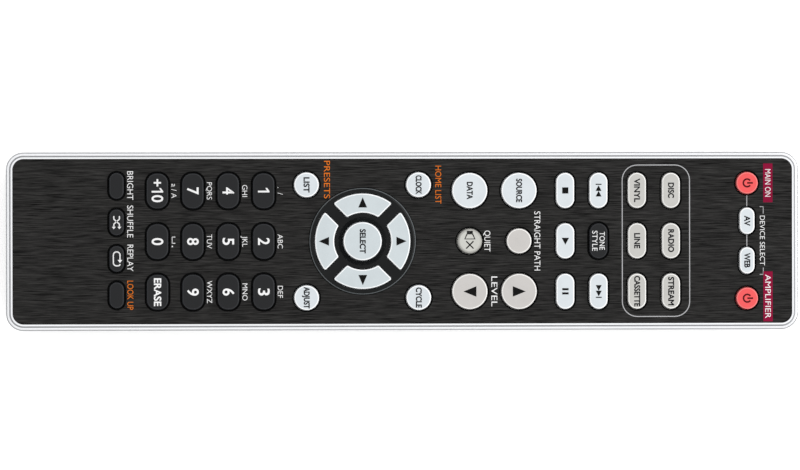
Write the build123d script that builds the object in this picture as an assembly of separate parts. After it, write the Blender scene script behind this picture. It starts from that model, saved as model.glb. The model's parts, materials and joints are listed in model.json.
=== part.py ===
from build123d import *
import os
from math import atan2, degrees, sqrt

# Infrared remote control handset for a hi-fi amplifier and its players.
# Millimetres. +Y runs towards the infrared end, +X to the right of the user, +Z up through the keys.
# The origin is under the middle of the case, on the surface that the handset lies on.
# The stack is worked out from the battery cover upwards, so each layer seats on the one below.

# ---- Case -------------------------------------------------------------------------
BODY_LENGTH = 228.0
BODY_WIDTH = 51.2
CORNER_RADIUS = 5.0
WALL = 1.8  # side and floor wall of both shells
PARTING_HEIGHT = 12.0  # where the two shells meet; the belly's sides are rounded up to here
HEAD_RUN, HEAD_RISE = 28.0, 5.0  # length and height of the underside's upsweep at the infrared end
TAIL_RUN, TAIL_RISE = 18.0, 3.6  # the same at the other end
KEEL_DIP = 0.02  # how far the upsweeps start under the flat, so that they cross it and no faces coincide
LIP_INSET = 1.0  # from the outer face to the lower shell's locating lip
LIP_HEIGHT = 1.5
FIT_GAP = 0.1  # between pieces that locate each other
CUT = 1.0  # how far a cut runs past the face that it opens

# ---- Rim and face plate -------------------------------------------------------------
RIM_ROUND = 0.75  # rounding of the rim's outer edge
RIM_STEP_INSET = 0.95  # from the outer face to the rim's raised inner band
RIM_STEP_HEIGHT = 0.5
RIM_STEP_BEVEL = 0.45
RIM_ABOVE_PLATE = 0.3
RIM_WIDTH = 1.88  # from the outer face to the plate's pocket
PLATE_THICKNESS = 0.6
DECK_THICKNESS = 1.2
PLATE_KEY_GAP = 0.62  # round each key where it passes the plate
DECK_KEY_GAP = 0.25  # round each key where the deck guides it

# ---- Battery bay -----------------------------------------------------------------------
CELL_DIAMETER = 10.5  # AAA cell
CELL_LENGTH = 44.5  # over its button
CELL_BUTTON_DIAMETER, CELL_BUTTON_HEIGHT = 3.8, 0.8
CELL_EDGE_ROUND = 0.5
CELL_GAP = 0.8  # between the two cells
CELL_CLEARANCE = 0.25  # above, below and beside a cell
DIVIDER = 0.9  # thickness of the rib between the cells
DIVIDER_END_GAP = 1.0  # between the rib and a spring
BAY_WALL = 1.2
BAY_TO_TAIL = 24.5  # from the tail end of the case to the bay
CONTACT_THICKNESS = 0.4
CONTACT_WIDTH, CONTACT_HEIGHT = 8.6, 8.0
SPRING_LENGTH = 5.0  # from its plate to the cell
SPRING_WIRE = 0.6
SPRING_TURNS = 4
SPRING_BASE_RADIUS, SPRING_TIP_RADIUS = 3.4, 2.3
SPRING_SEAT_GAP = 0.05  # between a spring and its plate, and between its tip and the cell
SOLDER_TAG_WIDTH = 2.0
SOLDER_TAG_GAP = 0.3  # round a tag in its slot
SOLDER_TAG_BELOW_TOP = 0.3  # a tag ends this far inside the board

# ---- Battery cover -----------------------------------------------------------------------
COVER_RECESS = 0.15  # the cover lies this far inside the underside
COVER_THICKNESS = 1.4
COVER_GAP = 0.2  # round the cover
COVER_SEAT_GAP = 0.05  # between the cover and its ledge
COVER_LEDGE = 1.4  # width of the ledge that the cover rests against
COVER_CORNER = 2.0
COVER_JOIN = 0.2  # how far the tabs and the latch run into the lid
COLLAR_BOTTOM = 0.5  # the wall round the cover starts this far inside the skin
TAB_WIDTH, TAB_REACH, TAB_THICKNESS = 5.0, 1.4, 0.9
TAB_STEM = 1.2  # thickness of the stem that carries a tab
TAB_SPACING = 12.0
TAB_LIFT = 0.25  # between a tab and the floor that it hooks over
TAB_SIDE_GAP, TAB_SWING_ROOM = 0.4, 0.8  # beside a tab, and above it for its swing
LATCH_WIDTH, LATCH_SLOT, LATCH_LENGTH = 8.0, 0.6, 7.0
LATCH_SETBACK = 0.5  # from the cover's tail edge to the latch's spring leg
LATCH_HEIGHT, LATCH_THICKNESS = 3.2, 0.9
LATCH_NOSE, LATCH_NOSE_HEIGHT = 0.35, 1.0
LATCH_ROOM = 0.5  # above the latch
GRIP_RIBS, GRIP_PITCH, GRIP_WIDTH, GRIP_DEPTH = 4, 1.4, 0.7, 0.4
GRIP_FROM_EDGE, GRIP_SIDE_MARGIN = 1.6, 1.0

# ---- Board, keypad and keys ----------------------------------------------------------------
BOARD_GAP = 0.2  # between the bay's ceiling and the board
BOARD_THICKNESS = 1.2
BOARD_SIDE_GAP = 1.2  # between the board's edge and the case wall
BOARD_HEAD_GAP, BOARD_TAIL_GAP = 8.0, 22.5  # from the board to the ends of the case
BOARD_CORNER = 1.5
BOARD_BOSS_GAP, SHEET_BOSS_GAP = 0.4, 0.6  # round a screw boss that passes the board and the keypad
SHEET_THICKNESS = 0.8
SHEET_MARGIN = 0.2  # from the keypad's edge to the board's sides
KEY_TRAVEL = 1.0
CONTACT_GAP = 0.02  # left under a pill when its key is down
PILL_DIAMETER, PILL_THICKNESS = 2.6, 0.5
DOME_CROWN = 1.05  # rubber between a pill and its key
DOME_BASE_RADIUS, DOME_TOP_RADIUS, DOME_WALL = 2.5, 2.0, 0.45
FLANGE_THICKNESS = 0.9
FLANGE_WIDTH = 0.6  # how far a key's flange reaches past its sides
KEY_PLAY = 0.15  # between a key's flange and the deck
KEY_RISE = 1.2  # from the plate to the top of a key
KEY_ROUND = 0.38  # rounding of a key's top edge
SOFT_KEY_ROUND = 0.8  # the same on the mute key
POST_DIAMETER, POST_INSET = 3.6, 3.0  # board posts, and their place in from the board's edge
POST_END_INSET = 10.0  # from the board's ends to the nearest posts
POST_FRACTIONS = (-0.1, 0.12)  # the other posts' places, as shares of the case's length
RIB_THICKNESS, RIB_GRIP, RIB_JOIN = 1.2, 0.6, 0.3  # ribs that press the keypad's edge to the board
RIB_END_INSET = 6.0
RIB_FRACTIONS = (-0.17, 0.09, 0.27)

# ---- Cursor bezel ------------------------------------------------------------------------
CURSOR_OUTER_RADIUS, CURSOR_INNER_RADIUS = 13.7, 8.2  # of the four arrow keys
CURSOR_SPOKE = 3.45  # width of the bezel's four spokes
CURSOR_KEY_CORNER = 0.5
CURSOR_KEY_RISE = 1.4  # from the plate to the top of the cursor keys
ENTER_DIAMETER = 10.95
BEZEL_RIM = 1.7  # from the arrow keys to the bezel's outer edge
BEZEL_SKIRT = 0.95  # from the arrow keys to the outside of the skirt that passes the deck
BEZEL_EDGE_RISE, BEZEL_EDGE_ROUND = 0.45, 0.45
BEZEL_RISE = 1.1  # from the plate to the bezel's crest
BEZEL_CREST_INSET, BEZEL_CREST_DROP = 0.8, 0.1
BEZEL_DIP = 0.25  # from the plate to the dish beside the middle key
BEZEL_SAG = 0.18  # how far the dish lies under a straight slope
BEZEL_BORE_SLOPE, BEZEL_BORE_DROP = 1.35, 0.75  # width and depth of the slope round the middle key

# ---- Screws ------------------------------------------------------------------------------
SCREW_DIAMETER, SCREW_LENGTH = 2.6, 10.0
SCREW_HEAD_DIAMETER, SCREW_HEAD_HEIGHT, SCREW_HEAD_ROUND = 5.0, 1.7, 0.5
CROSS_LENGTH, CROSS_WIDTH, CROSS_DEPTH = 2.8, 0.6, 0.8
SCREW_SEAT = 5.0  # height of the seat under a screw's head
SEAT_THICKNESS, SEAT_WALL = 1.8, 1.5
HEAD_POCKET_GAP, SHANK_GAP, PILOT_GAP = 0.3, 0.25, 0.05  # each side of the screw
PILOT_END_GAP = 0.6
BOSS_DIAMETER = 5.2
SCREW_FROM_SIDE = 8.5
HEAD_SCREW_FROM_HEAD, TAIL_SCREW_FROM_TAIL = 25.5, 16.0

# ---- Infrared window and emitter -----------------------------------------------------------
WINDOW_WIDTH, WINDOW_HEIGHT, WINDOW_CORNER = 22.0, 6.4, 1.6
WINDOW_LIP, WINDOW_LIP_THICKNESS = 0.9, 0.8
WINDOW_SEAT_GAP = 0.05  # between the lip and the end wall
LED_DIAMETER, LED_LENGTH = 5.0, 8.0
LED_FLANGE_DIAMETER, LED_FLANGE_THICKNESS = 5.8, 1.0
LED_LEAD, LED_LEAD_SPACING, LED_LEAD_RUN = 0.5, 2.54, 2.5
LED_GAP = 0.3  # above the emitter and in front of it

# ---- Components under the board ------------------------------------------------------------
CHIP_LENGTH, CHIP_WIDTH, CHIP_THICKNESS, CHIP_BEVEL = 17.9, 7.5, 2.3, 0.3
CHIP_PINS, CHIP_PIN_PITCH, PIN_WIDTH, PIN_THICKNESS = 14, 1.27, 0.4, 0.25
PIN_KNEE, PIN_REACH, PIN_ROOT, PIN_DROP = 0.7, 1.4, 0.2, 1.35
CHIP_STANDOFF = 0.1
CHIP_FRACTION = 0.1  # the chip's place, as a share of the case's length
RESONATOR = (3.2, 7.4, 5.2)  # across, along, height
RESONATOR_X = 10.6
CAPACITOR_DIAMETER, CAPACITOR_LENGTH, CAPACITOR_X = 5.0, 7.0, -11.0
DRIVER = (2.9, 1.3, 1.0)
RESISTOR = (2.0, 1.2, 0.55)
RESISTOR_COLUMNS, RESISTOR_ROWS = (-6.0, 0.0, 10.0), (27.0, 31.0)  # rows are counted from the chip

# ---- Heights, from the underside up ----------------------------------------------------------
cover_top = COVER_RECESS + COVER_THICKNESS
cell_axis = cover_top + CELL_CLEARANCE + CELL_DIAMETER / 2
bay_ceiling = cell_axis + CELL_DIAMETER / 2 + CELL_CLEARANCE
board_bottom = bay_ceiling + BAY_WALL + BOARD_GAP
board_top = board_bottom + BOARD_THICKNESS
sheet_top = board_top + SHEET_THICKNESS
pill_bottom = board_top + KEY_TRAVEL + CONTACT_GAP
pill_top = pill_bottom + PILL_THICKNESS
flange_bottom = pill_top + DOME_CROWN
flange_top = flange_bottom + FLANGE_THICKNESS
deck_bottom = flange_top + KEY_PLAY
deck_top = deck_bottom + DECK_THICKNESS
plate_top = deck_top + PLATE_THICKNESS
rim_top = plate_top + RIM_ABOVE_PLATE
rim_shoulder = rim_top - RIM_STEP_HEIGHT
tab_low = WALL + TAB_LIFT
tab_high = tab_low + TAB_THICKNESS

# ---- Places along and across the case ---------------------------------------------------------
half_length, half_width = BODY_LENGTH / 2, BODY_WIDTH / 2
cell_x = (CELL_DIAMETER + CELL_GAP) / 2
bay_half_width = CELL_DIAMETER + CELL_GAP / 2 + CELL_CLEARANCE
bay_tail = -half_length + BAY_TO_TAIL
bay_head = bay_tail + CELL_LENGTH + SPRING_LENGTH + 2 * (CONTACT_THICKNESS + FIT_GAP)
tail_plate_face = bay_tail + FIT_GAP + CONTACT_THICKNESS
head_plate_face = bay_head - FIT_GAP - CONTACT_THICKNESS
cover_half_width = bay_half_width + COVER_LEDGE
cover_tail, cover_head = bay_tail - COVER_LEDGE, bay_head + COVER_LEDGE
board_half_width = half_width - WALL - BOARD_SIDE_GAP
board_tail, board_head = -half_length + BOARD_TAIL_GAP, half_length - BOARD_HEAD_GAP
window_height = board_bottom - LED_FLANGE_DIAMETER / 2 - LED_GAP
tab_places = (-TAB_SPACING / 2, TAB_SPACING / 2)
screw_places = [
    (side * (half_width - SCREW_FROM_SIDE), y)
    for side in (-1, 1)
    for y in (half_length - HEAD_SCREW_FROM_HEAD, -half_length + TAIL_SCREW_FROM_TAIL)
]
bezel_radius = CURSOR_OUTER_RADIUS + BEZEL_RIM
skirt_radius = CURSOR_OUTER_RADIUS + BEZEL_SKIRT

# ---- Key layout ------------------------------------------------------------------------
# Rows are distances from the infrared end and columns are distances from the centre line, both
# drawn for a case of LAYOUT_LENGTH by LAYOUT_WIDTH. On another case they spread in proportion.
LAYOUT_LENGTH, LAYOUT_WIDTH = 228.0, 51.2
COLUMN = 14.5  # of the keys that stand three in a row
CORNER_COLUMN = 16.2  # of the round keys beside the cursor
POWER_COLUMN, MODE_COLUMN = 16.6, 5.7
FOUR_PITCH, FOUR_SHIFT = 10.45, -0.3  # of the keys that stand four in a row, a little left of the middle
POWER_ROW, SOURCE_ROW, SECOND_SOURCE_ROW = 14.95, 36.95, 46.75
SKIP_ROW, PLAY_ROW = 57.85, 67.45
INPUT_ROW, INFO_ROW = 80.75, 94.95
CURSOR_ROW, CURSOR_TO_CORNER_ROW = 125.75, 16.1
NUMBER_ROW, NUMBER_PITCH = 154.15, 10.15
LAST_ROW = 196.3

POWER_DIAMETER, CORNER_DIAMETER, LARGE_DIAMETER, SMALL_DIAMETER = 6.2, 7.08, 10.1, 7.1
WIDE_KEY, MODE_KEY, LAST_KEY = (10.1, 5.15), (7.6, 4.25), (7.45, 4.15)  # across, along
NUMBER_KEY, NUMBER_KEY_CORNER = (10.05, 6.15), 2.8


def across(column):
    return column * BODY_WIDTH / LAYOUT_WIDTH


def along(row):
    return half_length - row * BODY_LENGTH / LAYOUT_LENGTH


cursor_place = Pos(0, along(CURSOR_ROW))


def row_of_keys(names, row, columns, shapes, rounding=KEY_ROUND):
    """Keys side by side, left to right, as (name, outline, x, y, edge rounding, rise)."""
    return [
        (name, shape, across(column), along(row), rounding, KEY_RISE)
        for name, column, shape in zip(names, columns, shapes)
    ]


def cursor_outline():
    """The arrow key on +Y of the cursor's centre: a ring's quarter between two spokes, corners rounded."""
    ring = Circle(CURSOR_OUTER_RADIUS) - Circle(CURSOR_INNER_RADIUS)
    tip, reach = CURSOR_SPOKE / sqrt(2), 2 * CURSOR_OUTER_RADIUS
    wedge = make_face(Polyline((0, tip), (reach, tip + reach), (-reach, tip + reach), close=True))
    sector = ring & wedge
    return fillet(sector.vertices(), CURSOR_KEY_CORNER)


def cursor_keys():
    turns = {"key_up": 0, "key_left": 90, "key_down": 180, "key_right": 270}
    middle = (0, along(CURSOR_ROW))
    arrows = [
        (name, Rot(0, 0, turn) * cursor_outline(), *middle, KEY_ROUND, CURSOR_KEY_RISE)
        for name, turn in turns.items()
    ]
    return [*arrows, ("key_enter", Circle(ENTER_DIAMETER / 2), *middle, KEY_ROUND, CURSOR_KEY_RISE)]


def flat_keys():
    """Every key that passes the face plate in a hole of its own."""
    three, corners = (-COLUMN, 0, COLUMN), (-CORNER_COLUMN, CORNER_COLUMN)
    four = [(n - 1.5) * FOUR_PITCH + FOUR_SHIFT for n in range(4)]
    head = (-POWER_COLUMN, -MODE_COLUMN, MODE_COLUMN, POWER_COLUMN)
    wide, mode, last = (SlotOverall(*size) for size in (WIDE_KEY, MODE_KEY, LAST_KEY))
    power, corner, large, small = (
        Circle(size / 2) for size in (POWER_DIAMETER, CORNER_DIAMETER, LARGE_DIAMETER, SMALL_DIAMETER)
    )
    number = RectangleRounded(*NUMBER_KEY, NUMBER_KEY_CORNER)

    head_names = ("key_power", "key_mode_disc", "key_mode_network", "key_amplifier_power")
    keys = row_of_keys(head_names, POWER_ROW, head, (power, mode, mode, power))
    wide_rows = {
        SOURCE_ROW: ("key_disc", "key_tuner", "key_network"),
        SECOND_SOURCE_ROW: ("key_phono", "key_auxiliary", "key_recorder"),
        SKIP_ROW: ("key_skip_back", "key_sound", "key_skip_forward"),
        PLAY_ROW: ("key_stop", "key_play", "key_pause"),
    }
    for row, names in wide_rows.items():
        keys += row_of_keys(names, row, three, [wide] * 3)
    keys += row_of_keys(("key_input", "key_direct", "key_volume_up"), INPUT_ROW, three, (large, small, large))
    keys += row_of_keys(("key_info", "key_volume_down"), INFO_ROW, (-COLUMN, COLUMN), (large, large))
    keys += row_of_keys(("key_mute",), INFO_ROW, (0,), (small,), SOFT_KEY_ROUND)
    above, below = CURSOR_ROW - CURSOR_TO_CORNER_ROW, CURSOR_ROW + CURSOR_TO_CORNER_ROW
    keys += row_of_keys(("key_time", "key_play_mode"), above, corners, (corner, corner))
    keys += row_of_keys(("key_program", "key_setup"), below, corners, (corner, corner))
    number_names = (("1", "2", "3"), ("4", "5", "6"), ("7", "8", "9"), ("plus_10", "0", "clear"))
    for n, row in enumerate(number_names):
        names = [f"key_{digit}" for digit in row]
        keys += row_of_keys(names, NUMBER_ROW + n * NUMBER_PITCH, three, [number] * 3)
    last_names = ("key_dimmer", "key_random", "key_repeat", "key_search")
    return keys + row_of_keys(last_names, LAST_ROW, four, [last] * 4)


def dome_places(keys):
    """Where each key presses the keypad: under its middle, or under the middle of an arrow key's ring."""
    ring = (CURSOR_OUTER_RADIUS + CURSOR_INNER_RADIUS) / 2
    arrows = {"key_up": (0, ring), "key_left": (-ring, 0), "key_down": (0, -ring), "key_right": (ring, 0)}
    places = {}
    for name, _, x, y, _, _ in keys:
        dx, dy = arrows.get(name, (0, 0))
        places[name] = (x + dx, y + dy)
    return places


# ---- Small helpers ---------------------------------------------------------------------


def prism(sketch, low, high):
    """The sketch extruded between two heights."""
    return extrude(Pos(0, 0, low) * sketch, high - low)


def outline(inset):
    """The case's plan outline, moved in by inset."""
    return RectangleRounded(BODY_WIDTH - 2 * inset, BODY_LENGTH - 2 * inset, CORNER_RADIUS - inset)


def block(x_low, x_high, y_low, y_high, z_low, z_high):
    middle = Pos((x_low + x_high) / 2, (y_low + y_high) / 2, (z_low + z_high) / 2)
    return middle * Box(x_high - x_low, y_high - y_low, z_high - z_low)


def post(x, y, diameter, low, high):
    return Pos(x, y, (low + high) / 2) * Cylinder(diameter / 2, high - low)


def rod(x, y_low, y_high, z, diameter):
    """A cylinder along Y."""
    return Pos(x, (y_low + y_high) / 2, z) * Rot(90, 0, 0) * Cylinder(diameter / 2, y_high - y_low)


def window_shape(grow, y_low, y_high):
    """The infrared window's outline grown by grow, as a bar along Y."""
    face = RectangleRounded(WINDOW_WIDTH + 2 * grow, WINDOW_HEIGHT + 2 * grow, WINDOW_CORNER + grow)
    return Pos(0, y_high, window_height) * extrude(Plane.XZ * face, y_high - y_low)


def window_notch():
    return window_shape(FIT_GAP, half_length - WALL - CUT, half_length + CUT)


# ---- Case shells -----------------------------------------------------------------------


def end_rise(run, rise, inset):
    """Height of the underside at an end of the case, moved in by inset, for an upsweep of run by rise."""
    radius = (run * run + rise * rise) / (2 * rise)
    return radius - sqrt((radius - inset) ** 2 - (run - inset) ** 2)


def belly(inset, top):
    """The lower case's outer form moved in by inset: round sides, swept-up ends, cut off at top."""
    side = Rectangle(BODY_WIDTH - 2 * inset, top - inset, align=(Align.CENTER, Align.MIN))
    section = fillet(side.vertices().group_by(Axis.Y)[0], PARTING_HEIGHT - inset - 0.01)
    beam = extrude(Plane.XZ * Pos(0, inset) * section, half_length, both=True)

    head, tail, low = half_length - inset, -half_length + inset, inset - KEEL_DIP
    head_start, tail_start = (half_length - HEAD_RUN, low), (-half_length + TAIL_RUN, low)
    head_end = (head, end_rise(HEAD_RUN, HEAD_RISE, inset) - KEEL_DIP)
    tail_end = (tail, end_rise(TAIL_RUN, TAIL_RISE, inset) - KEEL_DIP)
    profile = make_face(
        Curve()
        + Line(tail_start, head_start)
        + TangentArc(head_start, head_end, tangent=(1, 0))
        + Polyline(head_end, (head, top), (tail, top), tail_end)
        + TangentArc(tail_start, tail_end, tangent=(-1, 0))
    )
    keel = extrude(Plane.YZ * profile, half_width, both=True)
    return beam & keel & prism(outline(inset), 0, top)


def tag_slots(z_low, z_high):
    """Cuts that let the two terminals' solder tags up to the board."""
    reach = SOLDER_TAG_WIDTH / 2 + SOLDER_TAG_GAP
    y_low, y_high = head_plate_face - SOLDER_TAG_GAP, head_plate_face + CONTACT_THICKNESS + SOLDER_TAG_GAP
    return [block(x - reach, x + reach, y_low, y_high, z_low, z_high) for x in (-cell_x, cell_x)]


def divider_rib():
    """The rib under the bay's ceiling that keeps the cells apart, stopping short of the springs."""
    end_gap = SPRING_LENGTH + DIVIDER_END_GAP
    low = cell_axis + CELL_DIAMETER / 4
    y_low, y_high = bay_tail + end_gap, bay_head - end_gap
    return block(-DIVIDER / 2, DIVIDER / 2, y_low, y_high, low, bay_ceiling + FIT_GAP)


def tab_slots():
    """Room for the cover's tabs: through the ledge, and over the floor that they hook on."""
    reach = TAB_WIDTH / 2 + TAB_SIDE_GAP
    wall = cover_head + COVER_GAP
    steps = ((wall, COVER_RECESS), (wall + BAY_WALL + CUT, WALL))
    return [
        block(x - reach, x + reach, bay_head - CUT, end, low, tab_high + TAB_SWING_ROOM)
        for x in tab_places
        for end, low in steps
    ]


def rear_case():
    """The lower shell: belly, battery bay with its ledge, screw seats, board posts and locating lip."""
    inside_skin = belly(WALL / 2, board_bottom)
    shell = belly(0, PARTING_HEIGHT) - belly(WALL, PARTING_HEIGHT + CUT)
    lip = prism(outline(LIP_INSET) - outline(WALL), PARTING_HEIGHT, PARTING_HEIGHT + LIP_HEIGHT)

    ledge_low = cover_top + COVER_SEAT_GAP
    reach = cover_half_width + COVER_GAP + BAY_WALL
    collar_tail, collar_head = cover_tail - COVER_GAP - BAY_WALL, cover_head + COVER_GAP + BAY_WALL
    collar = block(-reach, reach, collar_tail, collar_head, COLLAR_BOTTOM, ledge_low + BAY_WALL)
    reach = bay_half_width + BAY_WALL
    bay_top = bay_ceiling + BAY_WALL
    bay = block(-reach, reach, bay_tail - BAY_WALL, bay_head + BAY_WALL, COLLAR_BOTTOM, bay_top)
    post_rows = [board_tail + POST_END_INSET, board_head - POST_END_INSET]
    post_rows += [share * BODY_LENGTH for share in POST_FRACTIONS]
    post_x = board_half_width - POST_INSET
    posts = [post(side * post_x, y, POST_DIAMETER, 0, board_bottom) for side in (-1, 1) for y in post_rows]
    seat_diameter = SCREW_HEAD_DIAMETER + 2 * SEAT_WALL
    seats = [post(x, y, seat_diameter, 0, SCREW_SEAT + SEAT_THICKNESS) for x, y in screw_places]
    case = shell + lip + [inside_skin & solid for solid in (collar, bay, *posts, *seats)]

    inside = block(-bay_half_width, bay_half_width, bay_tail, bay_head, -CUT, bay_ceiling)
    recess_size = (2 * (cover_half_width + COVER_GAP), cover_head - cover_tail + 2 * COVER_GAP)
    recess_plan = RectangleRounded(*recess_size, COVER_CORNER + COVER_GAP)
    recess = prism(Pos(0, (cover_tail + cover_head) / 2) * recess_plan, -CUT, ledge_low)
    reach = LATCH_WIDTH / 2 + TAB_SIDE_GAP
    latch_top = cover_top + LATCH_HEIGHT + LATCH_ROOM
    latch_notch = block(-reach, reach, cover_tail - COVER_GAP, bay_tail + CUT, COVER_RECESS, latch_top)
    pocket_diameter = SCREW_HEAD_DIAMETER + 2 * HEAD_POCKET_GAP
    pockets = [post(x, y, pocket_diameter, -CUT, SCREW_SEAT) for x, y in screw_places]
    shank_diameter = SCREW_DIAMETER + 2 * SHANK_GAP
    shank_holes = [post(x, y, shank_diameter, -CUT, PARTING_HEIGHT) for x, y in screw_places]
    cuts = [inside, recess, latch_notch, *pockets, *shank_holes, window_notch()]
    cuts += tab_slots() + tag_slots(bay_ceiling - CUT, board_bottom)
    return case - cuts + divider_rib()


def key_holes(keys, gap):
    return [Pos(x, y) * offset(shape, gap) for _, shape, x, y, _, _ in keys]


def upper_case(keys):
    """The silver shell: side walls, stepped rim, and the deck under the plate that guides the keys."""
    wall = prism(outline(0), PARTING_HEIGHT, rim_shoulder)
    wall = fillet(wall.edges().group_by(Axis.Z)[-1], RIM_ROUND)
    band = prism(outline(RIM_STEP_INSET), rim_shoulder, rim_top)
    band = chamfer(band.edges().group_by(Axis.Z)[-1], RIM_STEP_BEVEL)
    case = wall + band
    case -= prism(outline(RIM_WIDTH), deck_top, rim_top + CUT)
    case -= prism(outline(WALL), PARTING_HEIGHT - CUT, deck_bottom)
    case -= prism(outline(LIP_INSET - FIT_GAP), PARTING_HEIGHT - CUT, PARTING_HEIGHT + LIP_HEIGHT + FIT_GAP)
    holes = Sketch() + key_holes(keys, DECK_KEY_GAP) + cursor_place * Circle(skirt_radius + FIT_GAP)
    case -= prism(holes, deck_bottom - CUT, deck_top + CUT)

    boss_low = SCREW_SEAT + SEAT_THICKNESS + FIT_GAP
    bosses = [post(x, y, BOSS_DIAMETER, boss_low, deck_bottom) for x, y in screw_places]
    pilot_diameter, pilot_top = SCREW_DIAMETER + 2 * PILOT_GAP, SCREW_SEAT + SCREW_LENGTH + PILOT_END_GAP
    pilots = [post(x, y, pilot_diameter, boss_low - CUT, pilot_top) for x, y in screw_places]
    rib_low, rib_high = board_half_width - RIB_GRIP, half_width - WALL + RIB_JOIN
    rib_rows = [board_tail + RIB_END_INSET, board_head - RIB_END_INSET]
    rib_rows += [share * BODY_LENGTH for share in RIB_FRACTIONS]
    half = RIB_THICKNESS / 2
    ribs = [
        block(*sorted((side * rib_low, side * rib_high)), y - half, y + half, sheet_top, deck_bottom)
        for side in (-1, 1)
        for y in rib_rows
    ]
    return case + bosses + ribs - [*pilots, window_notch()]


def face_plate(keys):
    """The thin aluminium escutcheon, bonded to the deck."""
    plan = outline(RIM_WIDTH + FIT_GAP / 2) - key_holes(keys, PLATE_KEY_GAP)
    plan -= cursor_place * Circle(bezel_radius + FIT_GAP)
    return prism(plan, deck_top, plate_top)


def cursor_bezel():
    """The dished ring round the cursor keys: a turned profile with four key pockets cut through it."""
    crest, dip = plate_top + BEZEL_RISE, plate_top + BEZEL_DIP
    bore = ENTER_DIAMETER / 2 + DECK_KEY_GAP
    slope_end, crest_radius = bore + BEZEL_BORE_SLOPE, bezel_radius - BEZEL_CREST_INSET
    edge = (bezel_radius, plate_top + BEZEL_EDGE_RISE)
    shoulder = (bezel_radius - BEZEL_EDGE_ROUND, crest - BEZEL_CREST_DROP)
    dish = ((crest_radius + slope_end) / 2, (crest + dip) / 2 - BEZEL_SAG)
    half_profile = make_face(
        Curve()
        + Polyline((bore, deck_bottom), (skirt_radius, deck_bottom), (skirt_radius, deck_top))
        + Polyline((skirt_radius, deck_top), (bezel_radius, deck_top), edge, shoulder, (crest_radius, crest))
        + ThreePointArc((crest_radius, crest), dish, (slope_end, dip))
        + Polyline((slope_end, dip), (bore, dip - BEZEL_BORE_DROP), (bore, deck_bottom))
    )
    ring = revolve(Plane.XZ * half_profile, Axis.Z)
    pocket = prism(offset(cursor_outline(), DECK_KEY_GAP), deck_bottom - CUT, crest + CUT)
    return cursor_place * (ring - [Rot(0, 0, 90 * n) * pocket for n in range(4)])


# ---- Keys and keypad -------------------------------------------------------------------


def key(shape, x, y, rounding, rise, dome):
    """A hard cap with a retaining flange, and the carbon pill that travels under its rubber dome."""
    cap = prism(shape, flange_bottom, plate_top + rise)
    cap = fillet(cap.edges().group_by(Axis.Z)[-1], rounding)
    cap += prism(offset(shape, FLANGE_WIDTH), flange_bottom, flange_top)
    return [Pos(x, y) * cap, post(*dome, PILL_DIAMETER, pill_bottom, pill_top)]


def board_plan(margin, boss_gap):
    """The board's outline, moved in by margin, with holes for the two screw bosses that pass through."""
    size = (2 * (board_half_width - margin), board_head - board_tail - 2 * margin)
    plan = Pos(0, (board_head + board_tail) / 2) * RectangleRounded(*size, BOARD_CORNER)
    return plan - [Pos(x, y) * Circle(BOSS_DIAMETER / 2 + boss_gap) for x, y in screw_places if y > 0]


def keypad_membrane(places):
    """One silicone sheet with a hollow dome under every key."""
    upright = (Align.CENTER, Align.CENTER, Align.MIN)
    dome = Cone(DOME_BASE_RADIUS, DOME_TOP_RADIUS, flange_bottom - board_top, align=upright)
    inner_radii = (DOME_BASE_RADIUS - DOME_WALL, DOME_TOP_RADIUS - DOME_WALL)
    hollow = Cone(*inner_radii, pill_top - board_top, align=upright)
    spots = [Pos(x, y, board_top) for x, y in places.values()]
    sheet = prism(board_plan(SHEET_MARGIN, SHEET_BOSS_GAP), board_top, sheet_top)
    return sheet + [spot * dome for spot in spots] - [spot * hollow for spot in spots]


# ---- Electronics -----------------------------------------------------------------------


def circuit_board():
    board = prism(board_plan(0, BOARD_BOSS_GAP), board_bottom, board_top)
    return board - tag_slots(board_bottom - CUT, board_top + CUT)


def hung(x, y, size):
    """A block of size (across, along, height) under the board."""
    wide, long, high = size
    return block(x - wide / 2, x + wide / 2, y - long / 2, y + long / 2, board_bottom - high, board_bottom)


def controller_chip(y):
    """A wide small-outline package with its gull-wing pins, hung under the board."""
    body = Pos(0, 0, -CHIP_STANDOFF) * hung(0, y, (CHIP_WIDTH, CHIP_LENGTH, CHIP_THICKNESS))
    body = chamfer(body.edges().group_by(Axis.Z)[0], CHIP_BEVEL)
    half, knee, arm = PIN_WIDTH / 2, CHIP_WIDTH / 2 + PIN_KNEE, board_bottom - PIN_DROP
    pin_parts = (
        (CHIP_WIDTH / 2 - PIN_ROOT, knee, arm, arm + PIN_THICKNESS),
        (knee - PIN_THICKNESS, knee, arm, board_bottom),
        (knee - PIN_THICKNESS, CHIP_WIDTH / 2 + PIN_REACH, board_bottom - PIN_THICKNESS, board_bottom),
    )
    pins = []
    for n in range(CHIP_PINS):
        at = y + (n - (CHIP_PINS - 1) / 2) * CHIP_PIN_PITCH
        for side in (-1, 1):
            for inner, outer, low, high in pin_parts:
                pins.append(block(*sorted((side * inner, side * outer)), at - half, at + half, low, high))
    return body + pins


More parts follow.
